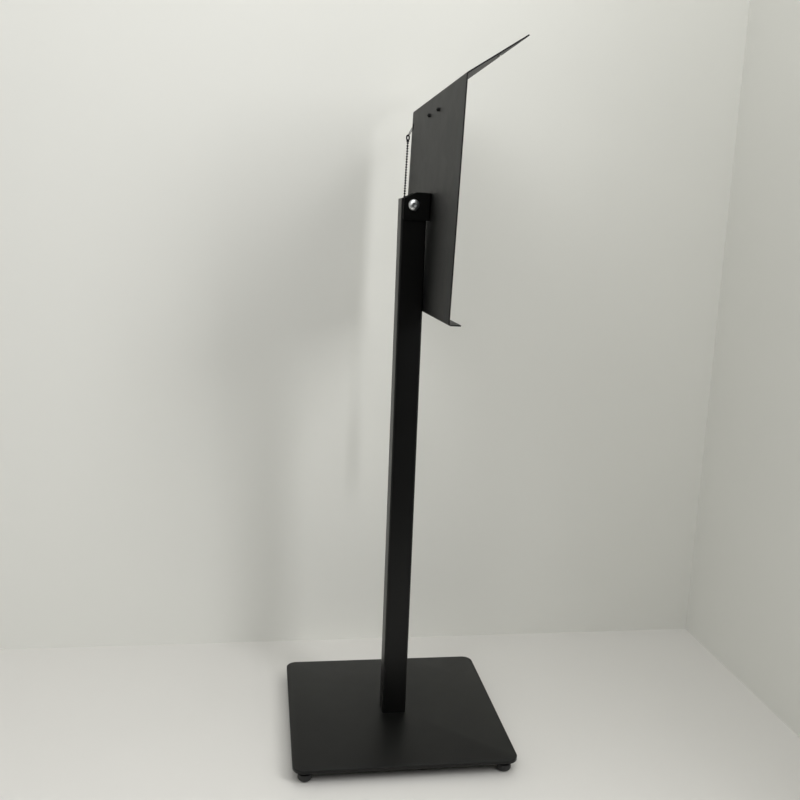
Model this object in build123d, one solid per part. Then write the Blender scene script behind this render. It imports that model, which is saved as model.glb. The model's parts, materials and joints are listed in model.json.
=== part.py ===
from build123d import *
from math import asin, atan2, cos, degrees, hypot, pi, radians, sin, sqrt, tan
import os

# Sign stand: a weighted square base on four screw-in feet, a square tube post, and a folded
# sheet-steel sign head that tilts on one bolt at the top of the post. A clip under the head's
# visor holds sheets of paper, and a pen hangs on a ball chain from the head's right edge.
# Millimetres. +Z is up, the sign faces -Y, and the origin is on the floor under the base's centre.

# ---------------------------------------------------------------- driving dimensions

# Base plate
base_side = 355.0
base_thickness = 6.0
base_corner_radius = 18.0
base_edge_round = 0.8

# Feet: a plastic pad moulded on a steel stud, which screws into a nut welded under the plate
foot_inset = 19.5
foot_pad_diameter = 22.5
foot_pad_height = 13.0
foot_pad_bottom_round = 6.5
foot_pad_top_round = 1.0
foot_stud_diameter = 8.0
foot_stud_seat_depth = 8.0
foot_nut_across_flats = 14.0
foot_nut_height = 8.0
foot_stud_end_gap = 0.4

# Post tube
post_side = 40.0
post_wall = 2.0
post_corner_radius = 4.0
post_inner_radius = 2.0
post_length = 860.0

# Block welded in the post's lower end, and the screws that hold it to the base plate
foot_block_height = 22.0
base_screw_diameter = 6.0
base_screw_head_diameter = 12.0
base_screw_spacing = 21.0
base_screw_grip = 14.0
base_screw_run_out = 2.0
base_screw_socket = 4.0
base_screw_socket_depth = 1.9

# Block in the post's top end, which the pivot bolt passes through
pivot_block_height = 36.0
pivot_block_recess = 0.8
pivot_block_edge = 0.8

# Pivot
pivot_drop = 10.0
pivot_set_back = 1.5
pivot_bolt_diameter = 10.0
pivot_head_diameter = 17.5
pivot_head_height = 5.5
pivot_socket = 6.0
pivot_socket_depth = 3.2
pivot_thread_showing = 1.6
pivot_washer_diameter = 20.0
pivot_washer_thickness = 2.0
pivot_nut_across_flats = 16.0
pivot_nut_height = 10.0
pivot_nut_collar_height = 3.4
pivot_nut_collar_diameter = 14.7
pivot_nut_collar_round = 1.2
friction_washer_diameter = 26.0
friction_washer_thickness = 1.2

# Tilt bracket: a U-shaped steel channel whose web is screwed to the back of the sign panel
bracket_thickness = 2.5
bracket_bend_radius = 1.5
bracket_rise = 19.5
bracket_fall = 22.5
bracket_tail = 15.5
bracket_chamfer_run = 18.5
bracket_chamfer_drop = 10.0
bracket_corner_radius = 3.0
bracket_screw_diameter = 4.0
bracket_screw_head_diameter = 7.6
bracket_screw_head_height = 2.2
bracket_screw_socket = 2.5
bracket_screw_socket_depth = 1.3
bracket_screw_spacing_x = 24.0
bracket_screw_spacing_z = 22.0
bracket_screw_tip_gap = 0.4

# Sign panel: ledge, board and visor folded from one sheet
panel_width = 432.0
panel_thickness = 2.0
panel_bend_radius = 1.5
board_stop_gap = 1.2
bracket_swing_gap = 0.75
panel_rise = 167.5
panel_height = 332.0
ledge_length = 18.5
visor_length = 96.5
visor_elevation = 34.5
panel_corner_radius = 2.5
head_rest_lean = 1.5

# Card magnets on the front of the visor
magnet_diameter = 6.0
magnet_thickness = 1.6
magnet_spacing = 312.0
magnet_from_fold = 66.0
magnet_edge = 0.5

# Paper clip under the visor, held by two screws and nuts
clip_drop = 26.0
clip_screw_spacing = 76.0
clip_screw_diameter = 3.0
clip_screw_head_diameter = 5.7
clip_screw_head_height = 1.65
clip_screw_socket = 2.0
clip_screw_socket_depth = 1.0
clip_nut_across_flats = 5.5
clip_nut_height = 4.0
clip_thread_showing = 1.0
clip_base_width = 100.0
clip_base_height = 20.0
clip_base_thickness = 1.0
clip_base_corner = 3.0
clip_pin_diameter = 3.0
clip_pin_head_diameter = 4.6
clip_pin_head_length = 0.9
clip_pin_head_chamfer = 0.3
clip_pin_stand_off = 8.0
clip_lug_spacing = 56.0
clip_lug_thickness = 1.2
clip_lug_round = 3.0
clip_tab_gap = 0.6
clip_tab_round = 3.2
clip_jaw_thickness = 1.2
clip_jaw_width = 96.0
clip_lever_width = 62.0
clip_jaw_shoulder = 1.1
clip_jaw_shoulder_drop = 7.0
clip_jaw_reach = 24.0
clip_lip_height = 4.5
clip_lever_rise = 19.0
clip_lever_lean = 22.0
clip_grip_thickness = 1.6
clip_grip_gap = 0.3
clip_spring_wire = 1.0
clip_spring_play = 0.45
clip_spring_pitch = 1.5
clip_spring_full_turns = 5
clip_spring_arm = 12.0

# Pen tether at the head's right edge
tether_hole_diameter = 11.5
tether_hole_edge = 11.5
ring_wire = 1.2
ring_radius = 11.2
ring_half_chord = 8.8
ring_swing = 27.5
clasp_wire = 2.5
clasp_width = 7.0
clasp_height = 10.5
clasp_barrel_diameter = 5.0
clasp_barrel_length = 3.4
clasp_barrel_chamfer = 0.4
chain_ball = 4.0
chain_length = 450.0
chain_board_gap = 4.2
socket_diameter = 5.6
socket_length = 9.0
socket_chamfer = 0.5
pen_diameter = 9.6
pen_length = 108.0
pen_cap_height = 4.0
pen_top_round = 2.0
pen_wall = 1.6
pen_plug_length = 8.0
pen_nose_length = 20.0
pen_nose_tip_diameter = 3.4
refill_diameter = 3.0
refill_point_length = 5.0
refill_point_diameter = 1.0

# Shapes that every fastener shares, as shares of its own size
nut_corner_chamfer = 0.12
screw_crown_share = 0.45
screw_rim_share = 0.12
screw_tip_chamfer = 0.1

# A cord's arc takes this share of the shorter run beside it
cord_arc_share = 0.45

# Fits
running_gap = 0.1
screw_gap = 0.05
insert_gap = 0.15
clearance_hole_gap = 0.2
hang_gap = 0.1

# ---------------------------------------------------------------- derived places

base_underside = foot_pad_height + foot_nut_height
base_top = base_underside + base_thickness
post_top = base_top + post_length
foot_offset = base_side / 2 - foot_inset

pivot_y = pivot_set_back
pivot_z = post_top - pivot_drop
bracket_inner_width = post_side + 2 * friction_washer_thickness
bracket_outer_width = bracket_inner_width + 2 * bracket_thickness

# The board's lower edge stops just short of the post's front face when the head leans forward,
# and the bracket's web clears the post's front top edge as the head tilts back.
post_front_from_pivot = post_side / 2 + pivot_set_back
board_below_pivot = panel_height - panel_rise
rest_lean = radians(head_rest_lean)
stop_reach = post_front_from_pivot + board_stop_gap + board_below_pivot * sin(rest_lean)
stop_reach /= cos(rest_lean)
swing_reach = hypot(post_front_from_pivot, pivot_drop) + bracket_swing_gap + bracket_thickness
panel_set_forward = max(stop_reach, swing_reach)

# Places on the head are given with the pivot at the origin and the board upright.
board_back = -panel_set_forward
board_front = board_back - panel_thickness
board_middle = (board_back + board_front) / 2
fold_z = panel_rise
ledge_underside = -board_below_pivot
clip_z = fold_z - clip_drop
clip_base_front = board_front - clip_base_thickness
clip_pin_y = board_front - clip_pin_stand_off
tether_hole_x = panel_width / 2 - tether_hole_edge
clip_spring_radius = clip_pin_diameter / 2 + clip_spring_play + clip_spring_wire / 2

pieces = {}


def keep(name, *solids):
    """Store one named piece, or a group of identical solids, for writing."""
    pieces[name] = solids[0] if len(solids) == 1 else Compound(children=list(solids))


def on_head(shape):
    """Place a shape drawn on the upright head onto the stand, at the head's rest lean."""
    return Pos(0, pivot_y, pivot_z) * Rot(head_rest_lean, 0, 0) * shape


def corners(offset_x, offset_y):
    """The four corners of a rectangle centred on the origin."""
    return [(x, y) for x in (-offset_x, offset_x) for y in (-offset_y, offset_y)]


def upright(radius, height):
    """A cylinder that stands on the XY plane."""
    return Cylinder(radius, height, align=(Align.CENTER, Align.CENTER, Align.MIN))


def along_x(shape):
    """Turn a shape that points along +Z so that it points along +X."""
    return Rot(0, 90, 0) * shape


def towards_back(shape):
    """Turn a shape that points along +Z so that it points along +Y."""
    return Rot(-90, 0, 0) * shape


def rounded_post(side, radius, height):
    """A square bar with rounded long edges, standing on the XY plane."""
    return extrude(RectangleRounded(side, side, radius), height)


def hexagon_bar(across_flats, height):
    """A hexagonal bar that stands on the XY plane."""
    return extrude(RegularPolygon(across_flats / 2, 6, major_radius=False), height)


def hexagon_nut(across_flats, height, bore_radius):
    """A nut that stands on the XY plane, with its corners turned down at both ends."""
    corner_radius = across_flats / sqrt(3)
    turned = chamfer(upright(corner_radius, height).edges(), nut_corner_chamfer * corner_radius)
    return (hexagon_bar(across_flats, height) & turned) - upright(bore_radius, height)


def button_screw(diameter, length, head_diameter, head_height, socket, socket_depth):
    """A button-head socket screw along +Z, with the underside of its head on the XY plane."""
    head_radius = head_diameter / 2
    crown_radius = screw_crown_share * head_radius
    rim = (head_radius, -screw_rim_share * head_height)
    profile = (
        Line((0, 0), (head_radius, 0))
        + Line((head_radius, 0), rim)
        + RadiusArc(rim, (crown_radius, -head_height), -head_radius)
        + Line((crown_radius, -head_height), (0, -head_height))
        + Line((0, -head_height), (0, 0))
    )
    head = revolve(Plane.XZ * make_face(profile), Axis.Z)
    recess = Pos(0, 0, -head_height) * hexagon_bar(socket, socket_depth)
    shank = upright(diameter / 2, length)
    shank = chamfer(shank.edges().sort_by(Axis.Z)[-1], screw_tip_chamfer * diameter)
    return head + shank - recess


def nearest_edge(shape, point):
    """The edge of a shape whose middle is nearest to a point."""
    return min(shape.edges(), key=lambda edge: (edge.center() - Vector(*point)).length)


def fold_profile(points, radii):
    """A closed outline in the YZ plane with a fillet radius at each of its corners."""
    outline = make_face(Polyline(*points, close=True))
    for point, radius in zip(points, radii):
        if radius > 0:
            corner = outline.vertices().sort_by_distance(Vector(point[0], point[1]))[0]
            outline = fillet(corner, radius)
    return Plane.YZ * outline


# ---------------------------------------------------------------- base and feet

def make_base_plate():
    plate = extrude(RectangleRounded(base_side, base_side, base_corner_radius), base_thickness)
    plate = fillet(plate.edges().filter_by(GeomType.LINE).group_by(Axis.Z)[-1], base_edge_round)
    plate = Pos(0, 0, base_underside) * plate
    screw_hole = countersunk_shape(clearance_hole_gap, base_thickness)
    for x, y in corners(base_screw_spacing / 2, base_screw_spacing / 2):
        plate -= Pos(x, y, base_underside) * screw_hole
    keep("base_plate", plate)


def countersunk_shape(gap, length):
    """A countersunk head and shank along +Z, with the head's flat face on the XY plane."""
    head_radius = base_screw_head_diameter / 2 + gap
    shank_radius = base_screw_diameter / 2 + gap
    head_depth = head_radius - shank_radius
    cone = Cone(head_radius, shank_radius, head_depth, align=(Align.CENTER, Align.CENTER, Align.MIN))
    return cone + upright(shank_radius, length)


def make_base_screws():
    length = base_thickness + base_screw_grip
    screw = countersunk_shape(0, length) - hexagon_bar(base_screw_socket, base_screw_socket_depth)
    places = corners(base_screw_spacing / 2, base_screw_spacing / 2)
    keep("base_screws", *[Pos(x, y, base_underside) * screw for x, y in places])


def make_feet():
    """Each foot is a pad and a stud. The stud goes up through a nut welded under the plate."""
    stud_bottom = foot_pad_height - foot_stud_seat_depth
    stud_top = base_underside - foot_stud_end_gap
    stud_radius = foot_stud_diameter / 2
    pad = upright(foot_pad_diameter / 2, foot_pad_height)
    pad = fillet(pad.edges().sort_by(Axis.Z)[0], foot_pad_bottom_round)
    pad = fillet(pad.edges().sort_by(Axis.Z)[-1], foot_pad_top_round)
    pad -= Pos(0, 0, stud_bottom) * upright(stud_radius + screw_gap, foot_stud_seat_depth)
    stud = upright(stud_radius, stud_top - stud_bottom)
    stud = chamfer(stud.edges().sort_by(Axis.Z)[-1], screw_tip_chamfer * foot_stud_diameter)
    stud = Pos(0, 0, stud_bottom) * stud
    nut = hexagon_nut(foot_nut_across_flats, foot_nut_height, stud_radius + running_gap)
    nuts = []
    for (x, y), place in zip(corners(foot_offset, foot_offset),
                             ("front_left", "rear_left", "front_right", "rear_right")):
        keep(f"foot_pad_{place}", Pos(x, y, 0) * pad)
        keep(f"foot_stud_{place}", Pos(x, y, 0) * stud)
        nuts.append(Pos(x, y, foot_pad_height) * nut)
    keep("foot_weld_nuts", *nuts)


# ---------------------------------------------------------------- post

def make_post():
    tube = rounded_post(post_side, post_corner_radius, post_length)
    tube -= rounded_post(post_side - 2 * post_wall, post_inner_radius, post_length)
    tube = Pos(0, 0, base_top) * tube
    cross_hole = Cylinder(pivot_bolt_diameter / 2 + running_gap, post_side * 2)
    tube -= Pos(0, pivot_y, pivot_z) * along_x(cross_hole)
    keep("post_tube", tube)

    block_side = post_side - 2 * post_wall - 2 * insert_gap
    foot_block = Pos(0, 0, base_top) * rounded_post(block_side, post_inner_radius, foot_block_height)
    tapped = upright(base_screw_diameter / 2 + screw_gap, base_screw_grip + base_screw_run_out)
    for x, y in corners(base_screw_spacing / 2, base_screw_spacing / 2):
        foot_block -= Pos(x, y, base_top) * tapped
    keep("post_foot_block", foot_block)

    pivot_block = rounded_post(block_side, post_inner_radius, pivot_block_height)
    pivot_block = chamfer(pivot_block.edges().group_by(Axis.Z)[-1], pivot_block_edge)
    pivot_block = Pos(0, 0, post_top - pivot_block_recess - pivot_block_height) * pivot_block
    pivot_block -= Pos(0, pivot_y, pivot_z) * along_x(cross_hole)
    keep("pivot_block", pivot_block)


def make_pivot():
    washer = upright(friction_washer_diameter / 2, friction_washer_thickness)
    washer -= upright(pivot_bolt_diameter / 2 + running_gap, friction_washer_thickness)
    left = Pos(-post_side / 2 - friction_washer_thickness, pivot_y, pivot_z) * along_x(washer)
    right = Pos(post_side / 2, pivot_y, pivot_z) * along_x(washer)
    keep("friction_washers", left, right)

    outer = bracket_outer_width / 2
    nut_outer = outer + pivot_washer_thickness + pivot_nut_height
    length = outer + nut_outer + pivot_thread_showing
    bolt = button_screw(pivot_bolt_diameter, length, pivot_head_diameter, pivot_head_height,
                        pivot_socket, pivot_socket_depth)
    keep("pivot_bolt", Pos(-outer, pivot_y, pivot_z) * along_x(bolt))

    bore = pivot_bolt_diameter / 2 + screw_gap
    flat_washer = upright(pivot_washer_diameter / 2, pivot_washer_thickness)
    flat_washer -= upright(bore, pivot_washer_thickness)
    keep("pivot_washer", Pos(outer, pivot_y, pivot_z) * along_x(flat_washer))

    hexagon_height = pivot_nut_height - pivot_nut_collar_height
    collar = upright(pivot_nut_collar_diameter / 2, pivot_nut_height)
    collar = fillet(collar.edges().sort_by(Axis.Z)[-1], pivot_nut_collar_round)
    collar -= upright(bore, pivot_nut_height)
    nut = hexagon_nut(pivot_nut_across_flats, hexagon_height, bore) + collar
    keep("pivot_lock_nut", Pos(outer + pivot_washer_thickness, pivot_y, pivot_z) * along_x(nut))


# ---------------------------------------------------------------- head

def bracket_screw_places():
    return corners(bracket_screw_spacing_x / 2, bracket_screw_spacing_z / 2)


def make_bracket():
    depth = panel_set_forward + bracket_tail
    height = bracket_rise + bracket_fall
    middle_y = board_back + depth / 2
    bend_outside = bracket_bend_radius + bracket_thickness
    channel = Box(bracket_outer_width, depth, height)
    front_edges = channel.edges().filter_by(Axis.Z).group_by(Axis.Y)[0]
    channel = fillet(front_edges, bend_outside)
    inside = Box(bracket_inner_width, depth, height)
    inside = fillet(inside.edges().filter_by(Axis.Z).group_by(Axis.Y)[0], bracket_bend_radius)
    channel = channel - Pos(0, bracket_thickness, 0) * inside
    channel = Pos(0, middle_y, bracket_rise - height / 2) * channel

    outline = fold_profile(
        [
            (board_back, -bracket_fall),
            (bracket_tail, -bracket_fall),
            (bracket_tail, bracket_rise - bracket_chamfer_drop),
            (bracket_tail - bracket_chamfer_run, bracket_rise),
            (board_back, bracket_rise),
        ],
        [0, bracket_corner_radius, bracket_corner_radius, bracket_corner_radius, 0],
    )
    channel &= extrude(outline, bracket_outer_width, both=True)
    channel -= along_x(Cylinder(pivot_bolt_diameter / 2 + running_gap, bracket_outer_width * 2))
    tapped = Cylinder(bracket_screw_diameter / 2 + screw_gap, bracket_thickness * 2)
    for x, z in bracket_screw_places():
        channel -= Pos(x, board_back + bracket_thickness / 2, z) * towards_back(tapped)
    keep("tilt_bracket", on_head(channel))

    length = panel_thickness + bracket_thickness - bracket_screw_tip_gap
    screw = button_screw(bracket_screw_diameter, length, bracket_screw_head_diameter,
                         bracket_screw_head_height, bracket_screw_socket, bracket_screw_socket_depth)
    screws = [on_head(Pos(x, board_front, z) * towards_back(screw)) for x, z in bracket_screw_places()]
    keep("bracket_screws", *screws)


def visor_directions():
    """Unit vectors along the visor away from the fold, and square to its front face."""
    angle = radians(visor_elevation)
    return Vector(-cos(angle), sin(angle)), Vector(-sin(angle), -cos(angle))


def make_panel():
    outward, front = visor_directions()
    bend_outside = panel_bend_radius + panel_thickness
    fold = Vector(board_back, fold_z)
    tip = fold + outward * visor_length
    tip_front = tip + front * panel_thickness
    # The visor's front face meets the board's front face at the inside of the fold.
    to_inside = panel_thickness * (1 - sin(radians(visor_elevation))) / cos(radians(visor_elevation))
    inside_fold = fold + front * panel_thickness + outward * to_inside
    ledge_tip = board_back - ledge_length
    points = [
        (ledge_tip, ledge_underside),
        (board_back, ledge_underside),
        (fold.X, fold.Y),
        (tip.X, tip.Y),
        (tip_front.X, tip_front.Y),
        (inside_fold.X, inside_fold.Y),
        (board_front, ledge_underside + panel_thickness),
        (ledge_tip, ledge_underside + panel_thickness),
    ]
    radii = [0, bend_outside, bend_outside, 0, 0, panel_bend_radius, panel_bend_radius, 0]
    panel = extrude(fold_profile(points, radii), panel_width / 2, both=True)

    tip_middle = (tip + tip_front) * 0.5
    for side in (-panel_width / 2, panel_width / 2):
        for y, z in ((tip_middle.X, tip_middle.Y), (ledge_tip, ledge_underside + panel_thickness / 2)):
            panel = fillet(nearest_edge(panel, (side, y, z)), panel_corner_radius)

    def drill(x, z, diameter):
        return Pos(x, board_middle, z) * towards_back(Cylinder(diameter / 2, panel_thickness * 3))

    for x, z in bracket_screw_places():
        panel -= drill(x, z, bracket_screw_diameter + 2 * clearance_hole_gap)
    for x in (-clip_screw_spacing / 2, clip_screw_spacing / 2):
        panel -= drill(x, clip_z, clip_screw_diameter + 2 * clearance_hole_gap)
    panel -= drill(tether_hole_x, clip_z, tether_hole_diameter)
    keep("sign_panel", on_head(panel))


def make_magnets():
    outward, front = visor_directions()
    seat = Vector(board_back, fold_z) + outward * magnet_from_fold + front * panel_thickness
    disc = upright(magnet_diameter / 2, magnet_thickness)
    disc = chamfer(disc.edges().sort_by(Axis.Z)[-1], magnet_edge)
    magnets = []
    for x in (-magnet_spacing / 2, magnet_spacing / 2):
        plane = Plane(origin=(x, seat.X, seat.Y), x_dir=(1, 0, 0), z_dir=(0, front.X, front.Y))
        magnets.append(on_head(plane.location * disc))
    keep("card_magnets", *magnets)


# ---------------------------------------------------------------- paper clip

def make_clip_base():
    strip = RectangleRounded(clip_base_width, clip_base_height, clip_base_corner)
    strip = Pos(0, board_front, clip_z) * Rot(90, 0, 0) * extrude(strip, clip_base_thickness)
    hole = Cylinder(clip_screw_diameter / 2 + clearance_hole_gap, clip_base_thickness * 4)
    for x in (-clip_screw_spacing / 2, clip_screw_spacing / 2):
        strip -= Pos(x, board_front, clip_z) * towards_back(hole)
    reach = clip_base_front - clip_pin_y
    lug = Pos(0, reach / 2, 0) * Box(clip_lug_thickness, reach, 2 * clip_lug_round)
    lug += along_x(Cylinder(clip_lug_round, clip_lug_thickness))
    lug -= along_x(Cylinder(clip_pin_diameter / 2 + screw_gap, clip_lug_thickness * 2))
    for x in (-clip_lug_spacing / 2, clip_lug_spacing / 2):
        strip += Pos(x, clip_pin_y, clip_z) * lug
    keep("clip_base", on_head(strip))


def clip_tab_middle():
    """Distance from the centre to the middle of a jaw tab, which stands outside its lug."""
    return clip_lug_spacing / 2 + clip_lug_thickness / 2 + clip_tab_gap + clip_jaw_thickness / 2


def make_clip_pin():
    tab_outside = clip_tab_middle() + clip_jaw_thickness / 2 + clip_tab_gap / 2
    pin = Cylinder(clip_pin_diameter / 2, 2 * tab_outside)
    head = upright(clip_pin_head_diameter / 2, clip_pin_head_length)
    head = chamfer(head.edges().sort_by(Axis.Z)[-1], clip_pin_head_chamfer)
    pin += Pos(0, 0, tab_outside) * head
    pin += Pos(0, 0, -tab_outside) * Rot(180, 0, 0) * head
    keep("clip_pin", on_head(Pos(0, clip_pin_y, clip_z) * along_x(pin)))


def jaw_line():
    """Inner face of the jaw sheet from its lower edge to the lever's end, from the pin's axis.

    The lever's inner face lies just outside the spring's arm, which is a tangent of the coil.
    """
    lean = radians(clip_lever_lean)
    tangent = clip_spring_radius + clip_spring_wire / 2 + hang_gap
    clear = tangent / cos(lean) + clip_jaw_shoulder
    lip = clip_pin_stand_off - clip_grip_gap - clip_grip_thickness
    return [
        (lip, -clip_jaw_reach),
        (lip, clip_lip_height - clip_jaw_reach),
        (-clear, -clip_jaw_shoulder_drop),
        (-clear, clip_jaw_shoulder / tan(lean)),
        (-(tangent + clip_lever_rise * sin(lean)) / cos(lean), clip_lever_rise),
    ]


def offset_line(points, distance):
    """Corner points of a line drawn beside an open line, on the side away from the board."""
    steps = [(end - start).normalized() for start, end in zip(points[:-1], points[1:])]
    sides = [Vector(-along.Y, along.X) * distance for along in steps]
    beside = [points[0] + sides[0]]
    for corner, first, second in zip(points[1:-1], sides[:-1], sides[1:]):
        bisector = first + second
        beside.append(corner + bisector * (2 * distance**2 / bisector.length**2))
    beside.append(points[-1] + sides[-1])
    return [(point.X, point.Y) for point in beside]


def make_clip_jaw():
    inner = jaw_line()
    outer = offset_line([Vector(y, z) for y, z in inner], clip_jaw_thickness)
    outline = make_face(Polyline(*inner, *reversed(outer), close=True))
    sheet = extrude(Plane.YZ * outline, clip_jaw_width / 2, both=True)
    # The lever is narrower than the jaw below it.
    shoulder_z = inner[3][1]
    notch_width = (clip_jaw_width - clip_lever_width) / 2
    notch = Box(notch_width, 4 * clip_lever_rise, 2 * clip_lever_rise)
    for side in (-1, 1):
        x = side * (clip_lever_width + notch_width) / 2
        sheet -= Pos(x, 0, shoulder_z + clip_lever_rise) * notch
    tab_reach = -inner[2][0] + clip_jaw_thickness / 2
    tab = Pos(0, -tab_reach / 2, 0) * Box(clip_jaw_thickness, tab_reach, 2 * clip_tab_round)
    tab += along_x(Cylinder(clip_tab_round, clip_jaw_thickness))
    for x in (-clip_tab_middle(), clip_tab_middle()):
        sheet += Pos(x, 0, 0) * tab
    sheet -= along_x(Cylinder(clip_pin_diameter / 2 + running_gap, clip_jaw_width))
    keep("clip_jaw", on_head(Pos(0, clip_pin_y, clip_z) * sheet))

    grip = Box(clip_jaw_width, clip_grip_thickness, clip_lip_height)
    grip_y = board_front - clip_grip_gap - clip_grip_thickness / 2
    grip_z = clip_z - clip_jaw_reach + clip_lip_height / 2
    keep("clip_grip", on_head(Pos(0, grip_y, grip_z) * grip))


def make_clip_spring():
    """A torsion spring on the clip's pin: one arm bears on the clip's base, the other on the lever."""
    radius = clip_spring_radius
    reach = clip_pin_stand_off - clip_base_thickness - clip_spring_wire / 2 - hang_gap
    base_lean = asin(reach / sqrt(radius**2 + clip_spring_arm**2)) - atan2(radius, clip_spring_arm)
    lever_lean = radians(clip_lever_lean)
    turns = clip_spring_full_turns + (pi - base_lean - lever_lean) / (2 * pi)
    length = turns * clip_spring_pitch

    coil = Helix(clip_spring_pitch, length, radius, lefthand=True)
    base_arm = Line(coil @ 0 - coil % 0 * clip_spring_arm, coil @ 0)
    lever_arm = Line(coil @ 1, coil @ 1 + coil % 1 * clip_spring_arm)
    section = Plane(origin=base_arm @ 0, z_dir=base_arm % 0) * Circle(clip_spring_wire / 2)
    wire = sweep(section, path=Wire([base_arm, coil, lever_arm]), is_frenet=True)
    # The coil's axis lies along the pin, and its first direction points towards the board.
    coil_frame = Plane(origin=(-length / 2, clip_pin_y, clip_z), x_dir=(0, 1, 0), z_dir=(1, 0, 0))
    keep("clip_spring", on_head(coil_frame * Rot(0, 0, -degrees(base_lean)) * wire))


def make_clip_fasteners():
    grip = clip_base_thickness + panel_thickness
    screw = button_screw(clip_screw_diameter, grip + clip_nut_height + clip_thread_showing,
                         clip_screw_head_diameter, clip_screw_head_height,
                         clip_screw_socket, clip_screw_socket_depth)
    nut = hexagon_nut(clip_nut_across_flats, clip_nut_height, clip_screw_diameter / 2 + screw_gap)
    places = (-clip_screw_spacing / 2, clip_screw_spacing / 2)
    keep("clip_screws", *[on_head(Pos(x, clip_base_front, clip_z) * towards_back(screw)) for x in places])
    keep("clip_nuts", *[on_head(Pos(x, board_back, clip_z) * towards_back(nut)) for x in places])


# ---------------------------------------------------------------- pen tether

def tether_axis_point():
    """The middle of the tether hole, which the ring turns about as the head tilts."""
    return (on_head(Pos(tether_hole_x, board_middle, clip_z))).position


def wire_loop(width, height, wire):
    """A closed loop of round wire around the Z axis: two half turns, joined by straight sides along Y."""
    half_side = (height - width) / 2
    section = Plane(origin=(width / 2, 0, 0), x_dir=(1, 0, 0), z_dir=(0, 1, 0)) * Circle(wire / 2)
    bend = Pos(0, half_side, 0) * revolve(section, Axis.Z, 180)
    side = Pos(0, -half_side, 0) * towards_back(upright(wire / 2, 2 * half_side))
    loop = bend + Rot(0, 0, 180) * bend
    for x in (-width / 2, width / 2):
        loop += Pos(x, 0, 0) * side
    return loop


def make_tether():
    """A ring through the panel's edge, a clasp, a ball chain and a pen, hanging straight down."""
    swing = radians(ring_swing)
    hanging = Vector(0, sin(swing), -cos(swing))
    across = Vector(1, 0, 0)
    centre_drop = sqrt(ring_radius**2 - ring_half_chord**2)
    centre = tether_axis_point() + across * ring_half_chord + hanging * centre_drop
    ring_plane = Plane(origin=centre, x_dir=across, z_dir=across.cross(hanging))
    keep("tether_ring", ring_plane.location * Torus(ring_radius, ring_wire / 2))

    lowest = centre + hanging * ring_radius
    loop_width = clasp_width - clasp_wire
    loop_height = clasp_height - clasp_wire
    loop_top = lowest.Z + ring_wire / 2 + hang_gap + clasp_wire / 2
    loop_plane = Plane(origin=(lowest.X, lowest.Y, loop_top - loop_height / 2),
                       x_dir=(0, 1, 0), z_dir=(1, 0, 0))
    loop = loop_plane.location * wire_loop(loop_width, loop_height, clasp_wire)
    barrel_top = loop_top - loop_height
    barrel = upright(clasp_barrel_diameter / 2, clasp_barrel_length)
    barrel = chamfer(barrel.edges(), clasp_barrel_chamfer)
    barrel_bottom = barrel_top - clasp_barrel_length
    keep("tether_clasp", loop + Pos(lowest.X, lowest.Y, barrel_bottom) * barrel)

    # The chain leans back to clear the board's lower edge, then hangs straight down.
    edge = on_head(Pos(0, board_back, ledge_underside)).position
    bend = Vector(lowest.X, edge.Y + chain_board_gap + chain_ball / 2, edge.Z)
    start = Vector(lowest.X, lowest.Y, barrel_bottom - hang_gap)
    end = bend - Vector(0, 0, chain_length - (bend - start).length)
    turn = (bend - start).get_angle(end - bend)
    bend_radius = cord_arc_share * min((bend - start).length, (end - bend).length) / tan(radians(turn) / 2)
    print(f"ball_chain: bend radius {bend_radius:.0f} mm, turn {turn:.2f} degrees")
    route = FilletPolyline(start, bend, end, radius=[bend_radius])
    print(f"ball_chain: route {start}, {bend}, {end}, length {route.length:.2f} mm")
    section = Plane(origin=start, z_dir=route % 0) * Circle(chain_ball / 2)
    keep("ball_chain", sweep(section, path=route))

    def hang(shape, top):
        return Pos(end.X, end.Y, top) * Rot(180, 0, 0) * shape

    socket = chamfer(upright(socket_diameter / 2, socket_length).edges(), socket_chamfer)
    keep("chain_socket", hang(socket, end.Z))
    make_pen(hang, end.Z - socket_length)


def make_pen(hang, pen_top):
    """The pen hangs point down: an end plug, a hollow barrel, a tapered nose and a refill."""
    bore_radius = pen_diameter / 2 - pen_wall
    cap = upright(pen_diameter / 2, pen_cap_height)
    cap = fillet(cap.edges().sort_by(Axis.Z)[0], pen_top_round)
    plug = cap + Pos(0, 0, pen_cap_height) * upright(bore_radius - screw_gap, pen_plug_length)
    keep("pen_plug", hang(plug, pen_top))

    barrel_top = pen_top - pen_cap_height
    barrel = upright(pen_diameter / 2, pen_length) - upright(bore_radius, pen_length)
    keep("pen_barrel", hang(barrel, barrel_top))

    refill_hole = refill_diameter / 2 + screw_gap
    nose_top = barrel_top - pen_length
    nose = Cone(pen_diameter / 2, pen_nose_tip_diameter / 2, pen_nose_length,
                align=(Align.CENTER, Align.CENTER, Align.MIN))
    nose += Pos(0, 0, -pen_plug_length) * upright(bore_radius - screw_gap, pen_plug_length)
    nose -= Pos(0, 0, -pen_plug_length) * upright(refill_hole, pen_plug_length + pen_nose_length)
    keep("pen_nose", hang(nose, nose_top))

    refill_top = barrel_top - pen_plug_length
    refill_length = pen_length - pen_plug_length + pen_nose_length
    point = Cone(refill_diameter / 2, refill_point_diameter / 2, refill_point_length,
                 align=(Align.CENTER, Align.CENTER, Align.MIN))
    refill = upright(refill_diameter / 2, refill_length) + Pos(0, 0, refill_length) * point
    keep("pen_refill", hang(refill, refill_top))


make_base_plate()
make_base_screws()
make_feet()
make_post()
make_pivot()
make_bracket()
make_panel()
make_magnets()
make_clip_base()
make_clip_pin()
make_clip_jaw()
make_clip_spring()
make_clip_fasteners()
make_tether()

os.makedirs("parts", exist_ok=True)
for name, shape in pieces.items():
    export_step(shape, f"parts/{name}.step")
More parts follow.
